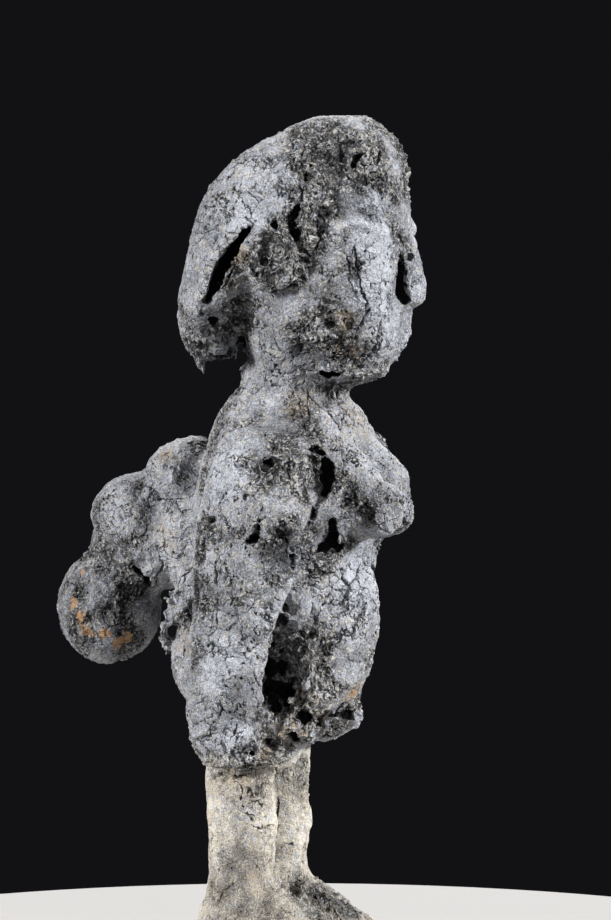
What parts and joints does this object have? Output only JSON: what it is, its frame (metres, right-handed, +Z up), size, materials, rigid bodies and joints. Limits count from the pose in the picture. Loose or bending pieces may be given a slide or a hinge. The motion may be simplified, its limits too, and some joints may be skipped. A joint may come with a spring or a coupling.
{
  "type": "fetish figure",
  "caption": "Carved wooden fetish figure: a crusted standing woman with a hair cap, arms at the sides and a lumpy load on the back, on a low base.",
  "frame": {"origin": "middle of the flat underside of the base", "axes": "+Z up, the figure looks along -Y, and its right hand is at -X"},
  "size_m": [0.0763, 0.1166, 0.259],
  "materials": {
    "crusted_wood": "dry cracked grey crust over dark carved wood"
  },
  "bodies": {
    "root": {"figure": "crusted_wood"}
  },
  "joints": []
}
